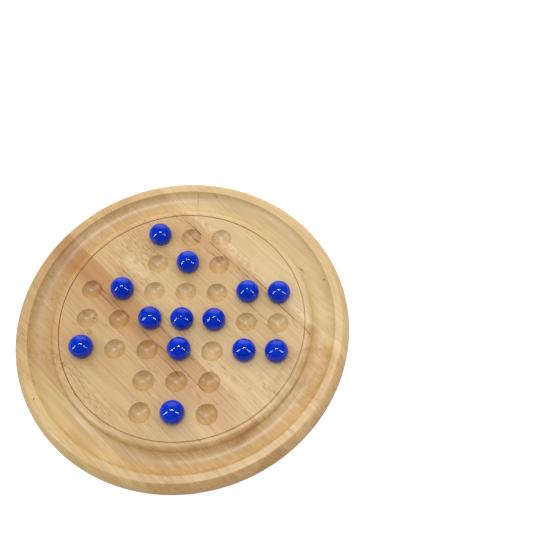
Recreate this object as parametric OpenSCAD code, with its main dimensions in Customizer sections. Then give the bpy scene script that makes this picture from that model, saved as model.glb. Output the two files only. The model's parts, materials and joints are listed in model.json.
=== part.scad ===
// Round solitaire board of solid wood, with thirteen of its marbles standing in their cups.
// The board is one panel of staves glued edge to edge. It has a cup for each of the 33 places,
// a gutter round the playing field for captured marbles, and a rounded outer edge.
// Origin: centre of the underside. +X runs right along the rows of cups, +Y runs away from the
// player, and +Z is up.

/* [Board] */
// Diameter of the board
board_d = 240; // [234:1:250]
// Thickness of the board
board_t = 20; // [18:0.5:24]
// Width of the rim outside the gutter, from the gutter to the widest point
rim_w = 10.6; // [10:0.1:13]

/* [Gutter] */
// Width of the gutter for captured marbles
gutter_w = 18.3; // [17:0.1:19]
// Depth of the gutter
gutter_depth = 6; // [4:0.5:8]
// Width of the crowned bead between the playing field and the gutter
bead_w = 3.3; // [2.8:0.1:4]

/* [Cups] */
// Distance between neighbouring cups
pitch = 22.7; // [20:0.1:23]
// Diameter of a cup at the surface
cup_d = 15; // [15:0.5:17]
// Depth of a cup
cup_depth = 4.6; // [3:0.1:4.6]

/* [Marbles] */
// Diameter of a marble
marble_d = 16.6; // [14:0.1:16.7]

/* [Panel] */
// Angle of the grain, clockwise from the rows of cups
grain_angle = 43.3; // [0:0.1:90]
// Width of a full stave
stave_w = 80.3; // [70:0.1:85]
// Distance of the middle glue line from the centre, across the grain
glue_offset = -13; // [-20:0.5:5]

/* [Hidden] */
// Marbles as [name, column, row], counted from the middle cup. The name follows the usual
// lettering: columns a to g from the left, rows 1 to 7 from the player.
MARBLES = [
    ["marble_c7", -1, 3],
    ["marble_d6", 0, 2],
    ["marble_b5", -2, 1],
    ["marble_f5", 2, 1],
    ["marble_g5", 3, 1],
    ["marble_c4", -1, 0],
    ["marble_d4", 0, 0],
    ["marble_e4", 1, 0],
    ["marble_a3", -3, -1],
    ["marble_d3", 0, -1],
    ["marble_f3", 2, -1],
    ["marble_g3", 3, -1],
    ["marble_d1", 0, -3],
];
// Staves as [name, glue line on the near side, glue line on the far side, colour]
far = 200;
STAVES = [
    ["left_edge_stave", -far, glue_offset - stave_w, "#d9b981"],
    ["heartwood_stave", glue_offset - stave_w, glue_offset, "#c89a66"],
    ["figured_stave", glue_offset, glue_offset + stave_w, "#d8b384"],
    ["right_edge_stave", glue_offset + stave_w, far, "#e0c48f"],
];

// Smoothness of the turned surfaces and of the balls
turned_fn = 180;
ball_fn = 64;

// Half the size of the grid: the cross has arms three cups long and three cups wide
arm = 3;
arm_half_w = 1;

board_r = board_d / 2;
// The edge is one arc from the upper face to the lower face, a little flatter than a half round
edge_r = 0.6 * board_t;

gutter_outer_r = board_r - rim_w;
gutter_inner_r = gutter_outer_r - gutter_w;
gutter_mid_r = (gutter_outer_r + gutter_inner_r) / 2;
gutter_cove_r = arc_radius(gutter_w / 2, gutter_depth);

// The bead is crowned, and a fine quirk groove parts it from the playing field
field_r = gutter_inner_r - bead_w;
bead_crown_r = 1.5 * bead_w;
bead_top_r = field_r + bead_w / 3;
bead_drop = 1.2;
quirk_w = 0.7;
quirk_depth = 0.7;

cup_ball_r = arc_radius(cup_d / 2, cup_depth);
// A marble stands on the bottom of its cup with just enough air to be a separate piece
seat_gap = 0.02;
marble_r = marble_d / 2;
marble_z = board_t - cup_depth + seat_gap + marble_r;

marble_colour = "#1c36c8";

// Radius of the circle whose cap has this half width and this depth
function arc_radius(half_w, depth) = (half_w * half_w + depth * depth) / (2 * depth);

// The solitaire cross keeps a place when it lies in the middle rows or the middle columns
function is_place(column, row) = abs(column) <= arm_half_w || abs(row) <= arm_half_w;

module edge_section() {
    flat_r = board_r - edge_r + sqrt(edge_r * edge_r - board_t * board_t / 4);
    square([flat_r, board_t]);
    intersection() {
        translate([board_r - edge_r, board_t / 2]) circle(edge_r, $fn = turned_fn);
        square([board_r + 1, board_t]);
    }
}

module gutter_section() {
    translate([gutter_mid_r, board_t - gutter_depth + gutter_cove_r])
        circle(gutter_cove_r, $fn = turned_fn);
}

module bead_section() {
    difference() {
        translate([field_r, board_t - bead_drop]) square([gutter_mid_r - field_r, bead_drop + 1]);
        translate([bead_top_r, board_t - bead_crown_r]) circle(bead_crown_r, $fn = turned_fn);
    }
}

module quirk_section() {
    polygon([
        [field_r - quirk_w, board_t],
        [field_r, board_t - quirk_depth],
        [field_r, board_t + 1],
        [field_r - quirk_w, board_t + 1],
    ]);
}

module turned_board() {
    rotate_extrude($fn = turned_fn) difference() {
        edge_section();
        gutter_section();
        bead_section();
        quirk_section();
    }
}

module cups() {
    for (column = [-arm:arm], row = [-arm:arm])
        if (is_place(column, row))
            translate([column * pitch, row * pitch, board_t - cup_depth + cup_ball_r])
                sphere(cup_ball_r, $fn = ball_fn);
}

// The slice of the panel between two glue lines, as distances across the grain
module panel_slice(near, far) {
    rotate([0, 0, -grain_angle])
        translate([-board_d, near, -1])
            cube([2 * board_d, far - near, board_t + 2]);
}

module stave(near, far, colour) {
    color(colour) difference() {
        intersection() {
            turned_board();
            panel_slice(near, far);
        }
        cups();
    }
}

module marble(column, row) {
    color(marble_colour)
        translate([column * pitch, row * pitch, marble_z])
            sphere(marble_r, $fn = ball_fn);
}

for (s = STAVES)
    stave(s[1], s[2], s[3]);
for (m = MARBLES)
    marble(m[1], m[2]);
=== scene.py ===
# Looks of the marble solitaire board: a turned panel of four glued staves and its glass marbles.
# Lengths are in millimetres until a mesh is finished, which then goes to metres. Distances across
# the grain are called u, distances along the grain v, and both are measured from the middle cup.
import json
import math

import bmesh
import bpy
from mathutils import Matrix, Vector, noise
from mathutils.geometry import delaunay_2d_cdt


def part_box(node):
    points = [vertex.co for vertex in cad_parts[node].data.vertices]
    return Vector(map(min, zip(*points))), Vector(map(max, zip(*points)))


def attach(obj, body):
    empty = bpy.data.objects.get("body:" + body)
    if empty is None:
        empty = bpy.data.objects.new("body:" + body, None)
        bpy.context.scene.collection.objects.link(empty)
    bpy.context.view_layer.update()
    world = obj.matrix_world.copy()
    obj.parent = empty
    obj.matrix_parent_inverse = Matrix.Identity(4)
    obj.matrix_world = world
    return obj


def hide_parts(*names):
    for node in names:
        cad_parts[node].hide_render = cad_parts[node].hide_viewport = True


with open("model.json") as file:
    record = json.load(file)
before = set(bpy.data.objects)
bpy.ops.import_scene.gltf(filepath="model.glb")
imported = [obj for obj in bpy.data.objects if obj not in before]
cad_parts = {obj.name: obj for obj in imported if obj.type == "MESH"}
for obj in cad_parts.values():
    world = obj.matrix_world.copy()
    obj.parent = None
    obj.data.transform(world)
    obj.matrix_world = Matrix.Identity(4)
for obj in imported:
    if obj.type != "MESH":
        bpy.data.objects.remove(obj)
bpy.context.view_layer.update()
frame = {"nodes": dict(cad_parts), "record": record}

MM = 0.001
STAVES = ["left_edge_stave", "heartwood_stave", "figured_stave", "right_edge_stave"]
MARBLES = sorted(name for name in frame["nodes"] if name.startswith("marble_"))

# ---- Sizes, from the frame where it holds them ----


def node_box(name):
    """Lowest and highest corner of a CAD node, in millimetres."""
    low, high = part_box(name)
    return low / MM, high / MM


def node_centre(name):
    low, high = node_box(name)
    return (low + high) / 2


def node_width(name):
    low, high = node_box(name)
    return high.x - low.x


def glue_lines(node):
    """Where a stave starts and ends across the grain."""
    reach = [vertex.co.dot(ACROSS) / MM for vertex in frame["nodes"][node].data.vertices]
    return min(reach), max(reach)


GRAIN_TURN = math.radians(43.3)
ACROSS = Vector((math.sin(GRAIN_TURN), math.cos(GRAIN_TURN), 0))
ALONG = Vector((math.cos(GRAIN_TURN), -math.sin(GRAIN_TURN), 0))
BOARD_T = max(node_box(name)[1].z for name in STAVES)
BOARD_R = max(node_box(name)[1].x for name in STAVES)
MARBLE_R = node_width("marble_d4") / 2
PITCH = node_centre("marble_e4").x - node_centre("marble_d4").x

RIM_W = 10.6
GUTTER_W = 18.3
GUTTER_DEPTH = 6
BEAD_W = 3.3
QUIRK_W = 0.7
QUIRK_DEPTH = 0.7
CUP_R = 7.5
CUP_DEPTH = 4.6
EDGE_R = 0.6 * BOARD_T

GUTTER_OUTER_R = BOARD_R - RIM_W
GUTTER_INNER_R = GUTTER_OUTER_R - GUTTER_W
GUTTER_MID_R = (GUTTER_OUTER_R + GUTTER_INNER_R) / 2
FIELD_R = GUTTER_INNER_R - BEAD_W
QUIRK_LINE_R = FIELD_R - 0.1
CROWN_R = 1.5 * BEAD_W
CROWN_MID_R = FIELD_R + BEAD_W / 3

# The cross of cups, counted from the middle cup: how far an arm reaches, and how far it goes sideways.
ARM_REACH = 3
ARM_SIDE = 1

# How far the turned sections run on into the flats beside them, before those are filled.
FIELD_MARGIN = 1.5
FOOT_MARGIN = 3
CUP_MARGIN = 0.9

# How finely the round forms are divided.
BOARD_TURNS = 360
CUP_TURNS = 72
CORNER_STEPS = 6
MARBLE_SUBDIVISIONS = 5

# Points nearer than this are one point: on an axis or in a flat, on a cut, and when a cut is welded.
TOUCHING = 1e-6
ON_CUT = 1e-5
WELD = 0.002

# ---- Sections of the turned board ----


def cap_radius(half_w, depth):
    """Radius of the circle whose cap has this half width and this depth."""
    return (half_w * half_w + depth * depth) / (2 * depth)


def arc(mid, radius, start, end, steps):
    """Points on an arc between two angles in radians, as (distance from the axis, height)."""
    turns = [start + (end - start) * i / steps for i in range(steps + 1)]
    return [Vector((mid[0] + radius * math.cos(t), mid[1] + radius * math.sin(t))) for t in turns]


def angle_to(mid, point):
    return math.atan2(point[1] - mid[1], point[0] - mid[0])


def meeting(mid_a, radius_a, mid_b, radius_b):
    """The lower of the two points where two circles meet."""
    gap = Vector(mid_b) - Vector(mid_a)
    along = (gap.length_squared + radius_a**2 - radius_b**2) / (2 * gap.length)
    aside = math.sqrt(radius_a**2 - along**2)
    ahead = gap.normalized()
    foot = Vector(mid_a) + ahead * along
    side = Vector((-ahead.y, ahead.x)) * aside
    return min(foot + side, foot - side, key=lambda point: point.y)


def cut_back(points, reach):
    """The line without its last stretch of this length."""
    points = list(points)
    while reach > 0:
        last = points.pop()
        step = (last - points[-1]).length
        if step > reach:
            points.append(last + (points[-1] - last) * (reach / step))
        reach -= step
    return points


def eased(first, stretches):
    """One outline from stretches that meet end to start. Each but the first comes with a reach, which
    is how far the corner at its start is softened to either side."""
    outline = list(first)
    for reach, stretch in stretches:
        if reach == 0:
            outline += stretch[1:]
            continue
        corner = stretch[0]
        before = cut_back(outline, reach)
        after = cut_back(reversed(stretch), reach)[::-1]
        start, end = before[-1], after[0]
        curve = []
        for i in range(1, CORNER_STEPS):
            t = i / CORNER_STEPS
            curve.append(start * (1 - t) ** 2 + corner * (2 * t * (1 - t)) + end * t**2)
        outline = before + curve + after
    return outline


def board_section():
    """From the playing field over the quirk, the bead, the gutter and the edge to the underside."""
    top = BOARD_T
    crown_mid = (CROWN_MID_R, top - CROWN_R)
    cove_r = cap_radius(GUTTER_W / 2, GUTTER_DEPTH)
    cove_mid = (GUTTER_MID_R, top - GUTTER_DEPTH + cove_r)
    edge_mid = (BOARD_R - EDGE_R, BOARD_T / 2)
    flat_r = edge_mid[0] + math.sqrt(EDGE_R**2 - edge_mid[1] ** 2)
    bead_start = math.acos((FIELD_R - CROWN_MID_R) / CROWN_R)
    bead_end = meeting(crown_mid, CROWN_R, cove_mid, cove_r)
    lip = (GUTTER_OUTER_R, top)
    field_edge = Vector((FIELD_R - QUIRK_W, top))
    quirk_bottom = Vector((FIELD_R, top - QUIRK_DEPTH))
    rim_middle = Vector(((lip[0] + flat_r) / 2, top))
    bead = arc(crown_mid, CROWN_R, bead_start, angle_to(crown_mid, bead_end), steps=14)
    gutter = arc(cove_mid, cove_r, angle_to(cove_mid, bead_end), angle_to(cove_mid, lip), steps=44)
    edge_turn = math.asin(BOARD_T / 2 / EDGE_R)
    edge = arc(edge_mid, EDGE_R, edge_turn, -edge_turn, steps=36)
    field = [field_edge - Vector((FIELD_MARGIN, 0)), field_edge]
    return eased(field, [
        (0.15, [field_edge, quirk_bottom]),
        (0, [quirk_bottom, bead[0]]),
        (0.1, bead),
        (0.25, gutter),
        (0.4, [gutter[-1], rim_middle, edge[0]]),
        (0.45, edge),
        (0.6, [edge[-1], Vector((flat_r - FOOT_MARGIN, 0))]),
    ])


def cup_section():
    """From the flat beside a cup over its softened lip to the cup's lowest point."""
    ball_r = cap_radius(CUP_R, CUP_DEPTH)
    ball_mid = (0, BOARD_T - CUP_DEPTH + ball_r)
    lip = Vector((CUP_R, BOARD_T))
    bowl = arc(ball_mid, ball_r, angle_to(ball_mid, lip), -math.pi / 2, steps=14)
    return eased([lip + Vector((CUP_MARGIN, 0)), lip], [(0.3, bowl)])


# ---- Meshes ----


def lathe(bm, section, mid, turns):
    """Turns a section about an upright axis. Returns the first and the last ring of vertices."""
    rings = []
    for r, z in section:
        if r < TOUCHING:
            rings.append([bm.verts.new((mid[0], mid[1], z))] * turns)
            continue
        ring = []
        for i in range(turns):
            t = 2 * math.pi * i / turns
            ring.append(bm.verts.new((mid[0] + r * math.cos(t), mid[1] + r * math.sin(t), z)))
        rings.append(ring)
    for ring, after in zip(rings, rings[1:]):
        for i in range(turns):
            j = (i + 1) % turns
            corners = [ring[i], ring[j], after[j], after[i]]
            bm.faces.new(list(dict.fromkeys(corners)))
    return rings[0], rings[-1]


def cup_places():
    """Centres of the 33 cups: the places of a cross, three wide and seven long both ways."""
    line = range(-ARM_REACH, ARM_REACH + 1)
    cross = [(x, y) for x in line for y in line if min(abs(x), abs(y)) <= ARM_SIDE]
    return [Vector((x * PITCH, y * PITCH)) for x, y in cross]


def fill_field(bm, field_ring, cup_rings):
    """The flat of the playing field, between its edge and the cups."""
    verts = list(field_ring)
    owner = [None] * len(verts)
    loops = [range(len(verts))]
    for ring in cup_rings:
        loops.append(range(len(verts), len(verts) + len(ring)))
        owner += [len(loops)] * len(ring)
        verts += ring
    edges = [(loop[i - 1], loop[i]) for loop in loops for i in range(len(loop))]
    flat = [vert.co.to_2d() for vert in verts]
    _, _, faces, came_from, _, _ = delaunay_2d_cdt(flat, edges, [], 0, TOUCHING)
    for face in faces:
        corners = [came_from[i][0] for i in face]
        owners = {owner[i] for i in corners}
        inside_cup = len(owners) == 1 and None not in owners
        if not inside_cup:
            bm.faces.new([verts[i] for i in corners])


def turned_board():
    """The whole board as one closed mesh in millimetres, before it is parted into staves."""
    bm = bmesh.new()
    field_ring, foot_ring = lathe(bm, board_section(), (0, 0), BOARD_TURNS)
    bm.faces.new(foot_ring)
    section = cup_section()
    cup_rings = [lathe(bm, section, place, CUP_TURNS)[0] for place in cup_places()]
    fill_field(bm, field_ring, cup_rings)
    bmesh.ops.recalc_face_normals(bm, faces=bm.faces[:])
    return bm


def trim(bm, distance, keep_above):
    """Cuts the mesh at a glue line, drops one side and closes the cut face."""
    plane = {
        "plane_co": ACROSS * distance,
        "plane_no": ACROSS * (-1 if keep_above else 1),
        "clear_outer": True,
        "dist": ON_CUT,
    }
    bmesh.ops.bisect_plane(bm, geom=bm.verts[:] + bm.edges[:] + bm.faces[:], **plane)
    bmesh.ops.remove_doubles(bm, verts=bm.verts[:], dist=WELD)
    rim = [edge for edge in bm.edges if edge.is_boundary]
    cap = bmesh.ops.edgeloop_fill(bm, edges=rim)["faces"]
    bmesh.ops.triangulate(bm, faces=cap, ngon_method="EAR_CLIP")
    bmesh.ops.recalc_face_normals(bm, faces=bm.faces[:])


def finished(bm, name, sharp_angle):
    """A smooth-shaded object in metres from a mesh in millimetres. An edge that bends by more than the
    angle, in degrees, stays sharp."""
    bmesh.ops.scale(bm, vec=(MM, MM, MM), verts=bm.verts[:])
    mesh = bpy.data.meshes.new(name)
    bm.to_mesh(mesh)
    bm.free()
    mesh.shade_smooth()
    mesh.set_sharp_from_angle(angle=math.radians(sharp_angle))
    obj = bpy.data.objects.new(name, mesh)
    bpy.context.scene.collection.objects.link(obj)
    return obj


def stave_piece(board, node):
    """One stave of the turned board, cut at the glue lines of its CAD node."""
    bm = board.copy()
    near, far = glue_lines(node)
    if node != STAVES[0]:
        trim(bm, near, keep_above=True)
    if node != STAVES[-1]:
        trim(bm, far, keep_above=False)
    piece = finished(bm, node + "_wood", sharp_angle=35)
    shading = piece.modifiers.new("even shading", "WEIGHTED_NORMAL")
    shading.keep_sharp = True
    return piece


def marble_piece(node):
    """A glass ball with the very slight unevenness of a pressed marble."""
    unevenness = 0.002
    lumps = 1.6
    mid = node_centre(node)
    bm = bmesh.new()
    bmesh.ops.create_icosphere(bm, subdivisions=MARBLE_SUBDIVISIONS, radius=MARBLE_R)
    for vert in bm.verts:
        out = vert.co.normalized()
        vert.co -= out * unevenness * (0.5 + 0.5 * noise.noise(out * lumps + mid))
        vert.co += mid
    return finished(bm, node + "_glass", sharp_angle=80)


# ---- Shader nodes ----


class Graph:
    """The shader nodes of a material or of the world, each added where its value is first needed."""

    def __init__(self, owner):
        owner.use_nodes = True
        self.owner = owner
        self.tree = owner.node_tree
        self.tree.nodes.clear()

    def add(self, kind, inputs=None, **settings):
        node = self.tree.nodes.new(kind)
        for name, value in settings.items():
            setattr(node, name, value)
        for key, value in (inputs or {}).items():
            self.feed(node.inputs[key], value)
        return node

    def feed(self, socket, value):
        if isinstance(value, bpy.types.NodeSocket):
            self.tree.links.new(value, socket)
        else:
            socket.default_value = value

    def math(self, operation, a, b=0.0):
        return self.add("ShaderNodeMath", {0: a, 1: b}, operation=operation).outputs[0]

    def plus(self, a, b):
        return self.math("ADD", a, b)

    def minus(self, a, b):
        return self.math("SUBTRACT", a, b)

    def times(self, a, b):
        return self.math("MULTIPLY", a, b)

    def squares(self, a, b):
        """The sum of two squares."""
        return self.plus(self.times(a, a), self.times(b, b))

    def dot(self, a, b):
        return self.add("ShaderNodeVectorMath", {0: a, 1: b}, operation="DOT_PRODUCT").outputs["Value"]

    def stretch(self, vector, factors, shift=(0, 0, 0)):
        inputs = {0: vector, 1: factors, 2: shift}
        return self.add("ShaderNodeVectorMath", inputs, operation="MULTIPLY_ADD").outputs[0]

    def noise(self, vector, detail=2.0, rough=0.5):
        inputs = {"Vector": vector, "Scale": 1.0, "Detail": detail, "Roughness": rough}
        return self.add("ShaderNodeTexNoise", inputs).outputs["Fac"]

    def step(self, value, low, high):
        """0 below low, 1 above high, with a soft passage. It falls instead where low is above high."""
        inputs = {"Value": value, "From Min": low, "From Max": high}
        return self.add("ShaderNodeMapRange", inputs, interpolation_type="SMOOTHSTEP").outputs[0]

    def mix(self, factor, a, b, blend="MIX"):
        node = self.add("ShaderNodeMix", {0: factor, 6: a, 7: b}, data_type="RGBA", blend_type=blend)
        return node.outputs[2]

    def switch(self, seen, value, other):
        """The value where seen is 1, and the other one where it is 0."""
        return self.plus(other, self.times(self.minus(value, other), seen))

    def finish(self, shader, output="ShaderNodeOutputMaterial"):
        self.add(output, {"Surface": shader}).is_active_output = True
        return self.owner


def tint(red, green, blue):
    """A colour given on the usual 0 to 255 scale, made linear."""
    def linear(value):
        share = value / 255
        return share / 12.92 if share <= 0.04045 else ((share + 0.055) / 1.055) ** 2.4
    return (linear(red), linear(green), linear(blue), 1.0)


# ---- Wood ----

BROWN = tint(122, 72, 34)
# Dust, finish and painted shade in the groove round the field.
QUIRK_DUST_AND_SHADE = tint(164, 98, 36)
DARK_BROWN = tint(82, 46, 22)
HEART_BROWN = tint(158, 104, 54)
OLIVE_BROWN = tint(168, 128, 74)
END_GRAIN = tint(196, 168, 140)

# Ends of a streak that runs off the board on both sides.
START = -200
END = 200

# Spread of the vessels where they crowd together, instead of one that leaves clear patches.
CROWDED = (-0.1, 0.6)

# How far the grain sways from side to side, how many rings the growth wanders by, and the radius of
# the largest vessel as a share of its cell.
SWAY = 3.2
RING_WOBBLE = 2.4
VESSEL_R = 0.44

# Depth of an open vessel, and the satin lacquer over it, with its lowest roughness and how far that varies.
PORE_DEPTH = 0.03
ROUGHNESS = 0.4
ROUGHNESS_RANGE = 0.1
LACQUER = {"Specular IOR Level": 0.4, "Coat Weight": 0.08, "Coat Roughness": 0.26, "Coat IOR": 1.5}


class Wood:
    """Solid wood in grain coordinates, so that every cut through it shows the same tree. The seed says
    which part of the tree a stave comes from."""

    def __init__(self, name, light, dark, seed):
        self.graph = Graph(bpy.data.materials.new(name))
        g = self.graph
        place = g.add("ShaderNodeTexCoord")
        mapping = {"Vector": place.outputs["Object"], "Rotation": (0, 0, GRAIN_TURN), "Scale": (1 / MM,) * 3}
        self.point = g.add("ShaderNodeMapping", mapping).outputs[0]
        self.end_grain = g.math("POWER", g.dot(place.outputs["Normal"], ALONG), 2.0)
        self.shift = (seed * 37.0, seed * 53.0, seed * 11.0)
        self.v, self.straight_u, self.z = g.add("ShaderNodeSeparateXYZ", {0: self.point}).outputs
        sway = g.times(g.minus(self.noise_at(60, 20, 20), 0.5), SWAY)
        self.u = g.plus(self.straight_u, sway)
        fibre = self.noise_at(80, 2.0, 4.0, 3, 0.6)
        cloud = self.noise_at(70, 24, 24)
        tone = g.plus(g.times(fibre, 0.6), g.times(cloud, 0.4))
        self.colour = g.mix(g.step(tone, 0.34, 0.66), light, dark)
        self.pores = 0.0

    def noise_at(self, along, across, deep, detail=2.0, rough=0.5):
        """Noise whose lumps have these lengths along the grain, across it and through the board."""
        factors = (1 / along, 1 / across, 1 / deep)
        return self.graph.noise(self.graph.stretch(self.point, factors, self.shift), detail, rough)

    def stain(self, mask, colour, strength, blend="MIX"):
        factor = self.graph.times(mask, strength)
        self.colour = self.graph.mix(factor, self.colour, colour, blend)

    def band(self, u_span, v_span, soft_u=3.0, soft_v=12.0):
        """The wood between two distances across the grain and two along it, with soft limits."""
        g = self.graph
        rise = g.step(self.u, u_span[0] - soft_u, u_span[0] + soft_u)
        fall = g.step(self.u, u_span[1] + soft_u, u_span[1] - soft_u)
        enter = g.step(self.v, v_span[0] - soft_v, v_span[0] + soft_v)
        leave = g.step(self.v, v_span[1] + soft_v, v_span[1] - soft_v)
        return g.times(g.times(rise, fall), g.times(enter, leave))

    def streak(self, u_span, v_span, colour, strength, soft_u=3.0, soft_v=12.0):
        """A band of another colour along the grain."""
        self.stain(self.band(u_span, v_span, soft_u, soft_v), colour, strength)

    def lines(self, places, strength):
        """Thin dark lines, each as (distance across the grain, start, end), broken up along their length."""
        half_w = 0.35
        breaks = self.graph.step(self.noise_at(9, 3, 3), 0.32, 0.6)
        for u, v_from, v_to in places:
            line = self.band((u - half_w, u + half_w), (v_from, v_to), 0.4, 6.0)
            self.stain(self.graph.times(line, breaks), BROWN, strength)

    def threads(self, width, spread, strength):
        """Long thin darker fibres all over the wood."""
        self.stain(self.graph.step(self.noise_at(55, width, 2 * width), *spread), BROWN, strength)

    def rings(self, mid_u, mid_z, rise, spacing, colour, strength):
        """Growth rings round a pith below the board, which surfaces slowly along the grain."""
        g = self.graph
        aside = g.minus(self.u, mid_u)
        slope = g.times(self.v, rise)
        above = g.plus(g.minus(self.z, mid_z), slope)
        wobble = g.times(self.noise_at(35, 16, 16, 3, 0.55), RING_WOBBLE)
        far = g.math("SQRT", g.squares(aside, above))
        growth = g.math("FRACT", g.plus(g.math("DIVIDE", far, spacing), wobble))
        late = g.times(g.step(growth, 0.25, 0.92), g.step(growth, 1.0, 0.92))
        self.stain(late, colour, strength)

    def vessels(self, spread, strength, length=9, width=0.65, where=1.0):
        """Open pores of the wood: short dark dashes along the grain, and dots on the end grain."""
        g = self.graph
        cells = g.stretch(self.point, (1 / length, 1 / width, 1 / width), self.shift)
        spots = g.add("ShaderNodeTexVoronoi", {"Vector": cells, "Scale": 1.0})
        size = g.times(g.step(self.noise_at(30, 6, 6), *spread), VESSEL_R)
        dashes = g.step(spots.outputs["Distance"], size, g.times(size, 0.65))
        dashes = g.times(dashes, where)
        self.stain(dashes, BROWN, strength)
        self.pores = g.math("MAXIMUM", self.pores, dashes)

    def mark(self, v, u, length, width, strength, turn=0.0, colour=DARK_BROWN):
        """One blemish of the wood, such as a pin knot or a short check, at an angle to the grain."""
        g = self.graph
        cos, sin = math.cos(math.radians(turn)), math.sin(math.radians(turn))
        dv = g.minus(self.v, v)
        du = g.minus(self.straight_u, u)
        a = g.plus(g.times(dv, 2 * cos / length), g.times(du, 2 * sin / length))
        b = g.minus(g.times(du, 2 * cos / width), g.times(dv, 2 * sin / width))
        self.stain(g.step(g.squares(a, b), 1.0, 0.1), colour, strength)

    def loops(self, v, u, length, width, strength):
        """Nested oval growth rings, where the saw cut through a dip in them."""
        g = self.graph
        count = 2
        a = g.times(g.minus(self.v, v), 2 / length)
        b = g.times(g.minus(self.u, u), 2 / width)
        far = g.math("SQRT", g.squares(a, b))
        growth = g.math("FRACT", g.times(far, count))
        late = g.times(g.step(growth, 0.3, 0.85), g.step(growth, 1.0, 0.9))
        self.stain(g.times(late, g.step(far, 1.15, 0.9)), OLIVE_BROWN, strength)

    def glue_line(self, u):
        """The thin dark joint where this stave meets its neighbour."""
        g = self.graph
        off = g.math("ABSOLUTE", g.minus(self.straight_u, u))
        share = g.step(self.noise_at(20, 20, 20), 0.3, 0.7)
        self.stain(g.times(g.step(off, 0.3, 0.05), share), DARK_BROWN, 0.45)

    def quirk(self):
        """The brown line in the groove round the field, part dust and finish and part painted shade, paler
        to the right.
        """
        g = self.graph
        level = g.stretch(self.point, (1, 1, 0))
        far = g.add("ShaderNodeVectorMath", {0: level}, operation="LENGTH").outputs["Value"]
        off = g.math("ABSOLUTE", g.minus(far, QUIRK_LINE_R))
        line = g.times(g.step(off, 0.45, 0.15), g.step(self.v, 100, -60))
        self.stain(line, QUIRK_DUST_AND_SHADE, 0.85)

    def finish(self):
        """Paints the dust and shade into the groove, darkens the end grain, and closes the wood under its
        lacquer.
        """
        g = self.graph
        self.quirk()
        self.stain(self.end_grain, END_GRAIN, 0.12, "MULTIPLY")
        grain = self.noise_at(30, 0.5, 0.5, 2, 0.6)
        self.stain(g.step(grain, 0.5, 0.8), BROWN, 0.12)
        height = g.minus(g.times(grain, 0.2), self.pores)
        bump = g.add("ShaderNodeBump", {"Height": height, "Strength": 0.2, "Distance": PORE_DEPTH * MM})
        polish = g.plus(g.times(self.noise_at(25, 12, 12), ROUGHNESS_RANGE), ROUGHNESS)
        inputs = {"Base Color": self.colour, "Roughness": polish, "Normal": bump.outputs[0], **LACQUER}
        return g.finish(g.add("ShaderNodeBsdfPrincipled", inputs).outputs[0])


def edge_wood():
    """The pale offcut at the left edge."""
    wood = Wood("edge_wood", tint(200, 170, 114), tint(182, 146, 88), seed=1)
    wood.rings(-120, -40, 0.03, 5.0, tint(170, 130, 80), 0.14)
    wood.threads(1.1, (0.6, 0.75), 0.16)
    wood.vessels((0.5, 0.75), 0.45)
    wood.mark(-28, -109, 2, 1.6, 0.7)
    wood.glue_line(glue_lines("left_edge_stave")[1])
    return wood.finish()


def heart_wood():
    """Tan wood with a brown band of heartwood along its upper side."""
    wood = Wood("heart_wood", tint(197, 163, 108), tint(178, 140, 86), seed=2)
    wood.rings(-60, -50, 0.04, 5.5, tint(168, 122, 80), 0.13)
    wood.streak((-34, -10), (START, 25), tint(176, 120, 54), 0.56, 6, 45)
    wood.streak((-34, -10), (20, 80), tint(180, 128, 66), 0.4, 6, 25)
    wood.streak((-31, -14), (START, -60), tint(164, 112, 56), 0.4, 3, 20)
    wood.streak((-28.5, -24), (-110, 30), HEART_BROWN, 0.25, 1.2)
    wood.streak((-19, -15), (-60, 60), HEART_BROWN, 0.12, 1.5)
    # Partly the wood's own tone and partly painted shade: darker towards the low end of the grain, where
    # less light falls.
    wood.streak((-95, -30), (START, -25), tint(170, 132, 84), 0.16, 12, 50)
    wood.threads(1.0, (0.58, 0.7), 0.2)
    clear = [(-25, -70, 5), (-27.5, -62, -40), (-24, 0, 80), (-15, -22, 40), (-28.5, 8, 30)]
    faint = [(-40, 0, 50), (-38, 60, 78), (-18, 55, 75), (-31, -60, -50)]
    wood.lines(clear, 0.95)
    wood.lines(faint, 0.5)
    wood.vessels((0.46, 0.72), 0.6)
    wood.streak((-36, -14), (89, 93), HEART_BROWN, 0.5, 3, 2)
    wood.streak((-60, -15), (113, 130), HEART_BROWN, 0.35, 4, 2)
    wood.vessels(CROWDED, 0.55, 7, 0.55, wood.band((-88, -76), (-50, 20), 2, 8))
    wood.mark(-10, -87.3, 7, 0.9, 0.95)
    wood.mark(-83, -55, 1.8, 1.3, 0.7)
    wood.mark(-48, -43, 3.5, 1.0, 0.7, 20)
    for line in glue_lines("heartwood_stave"):
        wood.glue_line(line)
    return wood.finish()


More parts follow.
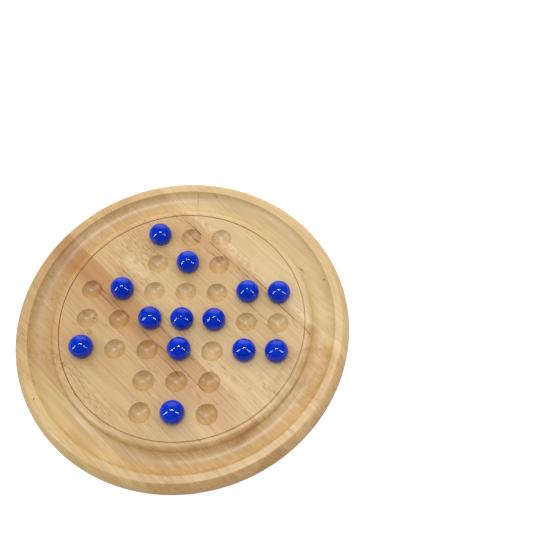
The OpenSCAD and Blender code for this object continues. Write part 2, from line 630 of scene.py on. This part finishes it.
def figured_wood():
    """Light wood with flame figure, dark lines near its upper side and rings cut open in the gutter."""
    wood = Wood("figured_wood", tint(204, 171, 118), tint(186, 148, 92), seed=3)
    wood.rings(18, -30, 0.12, 4.2, tint(172, 132, 88), 0.15)
    wood.streak((42, 57), (-62, -10), tint(184, 130, 88), 0.2, 3)
    wood.streak((54, 60), (-30, 70), tint(180, 126, 84), 0.2, 2)
    # Partly the wood's own tone and partly painted shade: darker towards the low end of the grain, where
    # less light falls.
    wood.streak((-20, 75), (START, -25), tint(178, 138, 90), 0.08, 12, 50)
    wood.streak((61, 75), (START, END), tint(214, 186, 140), 0.7, 3)
    wood.threads(1.0, (0.6, 0.72), 0.18)
    clear = [(57, -62, 75), (59.5, 0, 45), (52, -52, -20), (42, 5, 40)]
    faint = [(28, -56, -42), (17.5, -45, -30), (17, -5, 25), (40, 38, 75), (-4, -78, -50), (54, 0, 40)]
    wood.lines(clear, 0.95)
    wood.lines(faint, 0.5)
    wood.vessels((0.46, 0.72), 0.6)
    wood.streak((0, 9), (-68, -46), tint(216, 192, 142), 0.55, 1.5, 4)
    wood.vessels(CROWDED, 0.6, 6, 0.55, wood.band((4, 26), (-84, -48), 4, 8))
    wood.vessels(CROWDED, 0.55, 7, 0.55, wood.band((-9, 4), (-72, -40), 3, 8))
    wood.vessels(CROWDED, 0.55, 7, 0.55, wood.band((60, 67), (-62, 12), 2, 8))
    wood.mark(-43, 13.5, 1.8, 1.4, 0.6)
    wood.mark(70, 62, 12, 8, 0.35, 30, HEART_BROWN)
    wood.loops(89, 33, 30, 54, 0.36)
    wood.loops(98, 14, 44, 28, 0.25)
    for line in glue_lines("figured_stave"):
        wood.glue_line(line)
    return wood.finish()


def pale_wood():
    """Plain pale yellow wood at the right edge, with a few short checks."""
    wood = Wood("pale_wood", tint(206, 180, 132), tint(196, 164, 112), seed=4)
    wood.rings(110, -60, 0.02, 7.0, tint(186, 150, 100), 0.16)
    wood.threads(1.1, (0.62, 0.76), 0.12)
    wood.vessels((0.55, 0.8), 0.4)
    wood.mark(-71, 77.3, 14, 1.0, 0.35, 133)
    wood.mark(-61.6, 88.4, 4, 0.9, 0.6, -15)
    wood.mark(30, 90.5, 8, 1.2, 0.75)
    wood.mark(48, 96, 2.6, 1.5, 0.6)
    wood.glue_line(glue_lines("right_edge_stave")[0])
    return wood.finish()


# ---- Glass ----

DEEP_BLUE = (0.001, 0.022, 0.39, 1)
BRIGHT_BLUE = (0.002, 0.029, 0.46, 1)
GLASS_IOR = 1.36
GLASS_ROUGHNESS = 0.02
SMEAR_ROUGHNESS = 0.015

# Lumps of each noise in a metre.
CLOUDS = (90, 90, 160)
SMEARS = (400, 400, 400)


def marble_glass():
    """Opaque blue glass with a faint cloud in its colour and a hard polish."""
    g = Graph(bpy.data.materials.new("marble_glass"))
    place = g.add("ShaderNodeTexCoord").outputs["Object"]
    cloud = g.noise(g.stretch(place, CLOUDS))
    colour = g.mix(g.step(cloud, 0.35, 0.65), DEEP_BLUE, BRIGHT_BLUE)
    smears = g.noise(g.stretch(place, SMEARS))
    polish = g.plus(g.times(smears, SMEAR_ROUGHNESS), GLASS_ROUGHNESS)
    inputs = {"Base Color": colour, "Roughness": polish, "IOR": GLASS_IOR}
    return g.finish(g.add("ShaderNodeBsdfPrincipled", inputs).outputs[0])


# ---- Pieces ----

bodies = frame["record"]["behaviour"]["bodies"]
node_body = {node: body for body, nodes in bodies.items() for node in nodes}


def place_piece(piece, node, slot, material):
    """Gives a piece its material and its body, and lets it stand for its CAD node."""
    piece.data.materials.append(material)
    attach(piece, node_body[node])
    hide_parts(node)


WOODS = {
    "left_edge_stave": ("edge_wood", edge_wood),
    "heartwood_stave": ("heart_wood", heart_wood),
    "figured_stave": ("figured_wood", figured_wood),
    "right_edge_stave": ("pale_wood", pale_wood),
}
whole_board = turned_board()
for node in STAVES:
    slot, make_wood = WOODS[node]
    place_piece(stave_piece(whole_board, node), node, slot, make_wood())
whole_board.free()

glass = marble_glass()
for node in MARBLES:
    place_piece(marble_piece(node), node, "marble_glass", glass)

# ---- Studio, in metres ----

WHITE = (1, 1, 1, 1)
FLOOR_REACH = 6
FLOOR_DROP = 0.0002
FLOOR_PAPER = (0.62, 0.62, 0.62, 1)
FLOOR_GLOW = 0.75

# Light on the wood: a dome from the horizon to straight up, and a sweep from behind.
HORIZON = 0.8
SKY = 0.98
SWEEP = 1.1
SWEEP_AT = Vector((-0.24, 0.8, 0.55)).normalized()

# What polished things see: a darker room with the same kind of sweep behind the board.
GLOSSY_ROOM = 0.04
GLOSSY_SWEEP = 1.9
GLOSSY_SWEEP_AT = Vector((0.0, 0.96, 0.28))

LAMP_DISTANCE = 0.9
LAMP_W = 0.075

CAMERA_AT = Vector((0.0892, -0.1919, 0.4821))
CAMERA_FORWARD = Vector((0.0088, 0.4196, -0.9077))
CAMERA_RIGHT = Vector((0.9997, 0.018, 0.018))
CAMERA_LENS = 45.64
CAMERA_SENSOR = 36
CAMERA_SHIFT = (-0.071, 0.0385)
CAMERA_NEAR = 0.01


def axes(right, up, back):
    """The turn that points an object's own x, y and z axes these ways."""
    return Matrix((right, up, back)).transposed()


def direction(turn, height):
    """The way to a place at a turn from +X and a height above the floor, both in degrees."""
    turn, height = math.radians(turn), math.radians(height)
    level = Vector((math.cos(turn), math.sin(turn), 0))
    return level * math.cos(height) + Vector((0, 0, math.sin(height)))


def strip_light(name, turn, low, high, watts):
    """A long lamp that stands on edge round the board, between two heights in degrees. A height above
    90 is past the top, on the far side. The lamp only shows as a shine on polished things."""
    start = direction(turn, low) * LAMP_DISTANCE
    end = direction(turn, high) * LAMP_DISTANCE
    middle = (start + end) / 2
    along = (end - start).normalized()
    outward = middle.normalized()
    data = bpy.data.lights.new(name, "AREA")
    data.shape = "RECTANGLE"
    data.size = LAMP_W
    data.size_y = (end - start).length
    data.energy = watts
    lamp = bpy.data.objects.new(name, data)
    bpy.context.scene.collection.objects.link(lamp)
    lamp.matrix_world = Matrix.Translation(middle) @ axes(along.cross(outward), along, outward).to_4x4()
    lamp.visible_camera = False
    lamp.visible_diffuse = False


def floor():
    """Pale paper just under the board, which the camera sees as nearly white."""
    bm = bmesh.new()
    bmesh.ops.create_grid(bm, x_segments=1, y_segments=1, size=FLOOR_REACH)
    bmesh.ops.translate(bm, vec=(0, 0, -FLOOR_DROP), verts=bm.verts[:])
    mesh = bpy.data.meshes.new("floor")
    bm.to_mesh(mesh)
    bm.free()
    obj = bpy.data.objects.new("floor", mesh)
    bpy.context.scene.collection.objects.link(obj)
    g = Graph(bpy.data.materials.new("floor_paper"))
    paper = g.add("ShaderNodeBsdfDiffuse", {"Color": FLOOR_PAPER})
    seen = g.add("ShaderNodeLightPath").outputs["Is Camera Ray"]
    glow = g.add("ShaderNodeEmission", {"Color": WHITE, "Strength": g.times(seen, FLOOR_GLOW)})
    shader = g.add("ShaderNodeAddShader", {0: paper.outputs[0], 1: glow.outputs[0]})
    mesh.materials.append(g.finish(shader.outputs[0]))


def sky():
    """The light from all round. The wood, polished things and the camera each see their own."""
    world = bpy.data.worlds.new("studio")
    bpy.context.scene.world = world
    g = Graph(world)
    look = g.add("ShaderNodeTexCoord").outputs["Generated"]
    height = g.add("ShaderNodeSeparateXYZ", {0: look}).outputs[2]
    ray = g.add("ShaderNodeLightPath").outputs
    dome = g.plus(g.times(g.step(height, 0.2, 0.95), SKY - HORIZON), HORIZON)
    sweep = g.step(g.dot(look, SWEEP_AT), 0.2, 0.95)
    diffuse = g.plus(g.times(sweep, SWEEP), dome)
    shine = g.step(g.dot(look, GLOSSY_SWEEP_AT), 0.68, 0.97)
    glossy = g.plus(g.times(shine, GLOSSY_SWEEP), GLOSSY_ROOM)
    strength = g.switch(ray["Is Glossy Ray"], glossy, diffuse)
    strength = g.switch(ray["Is Camera Ray"], 1.0, strength)
    light = g.add("ShaderNodeBackground", {"Color": WHITE, "Strength": strength})
    g.finish(light.outputs[0], "ShaderNodeOutputWorld")


def place_camera():
    """Looks down at the board from the player's side, a little to the right."""
    camera = bpy.data.objects.new("camera", bpy.data.cameras.new("camera"))
    bpy.context.scene.collection.objects.link(camera)
    bpy.context.scene.camera = camera
    camera.data.lens = CAMERA_LENS
    camera.data.sensor_width = CAMERA_SENSOR
    camera.data.shift_x, camera.data.shift_y = CAMERA_SHIFT
    camera.data.clip_start = CAMERA_NEAR
    forward = CAMERA_FORWARD.normalized()
    up = CAMERA_RIGHT.cross(forward).normalized()
    camera.location = CAMERA_AT
    camera.rotation_euler = axes(forward.cross(up), up, -forward).to_euler()


floor()
sky()
strip_light("left_lamp", -153, 14, 56, watts=5.4)
strip_light("right_lamp", -19, 13, 51, watts=3.8)
strip_light("top_lamp", 4, 72, 97, watts=6.0)
place_camera()
bpy.context.scene.view_settings.view_transform = "Standard"
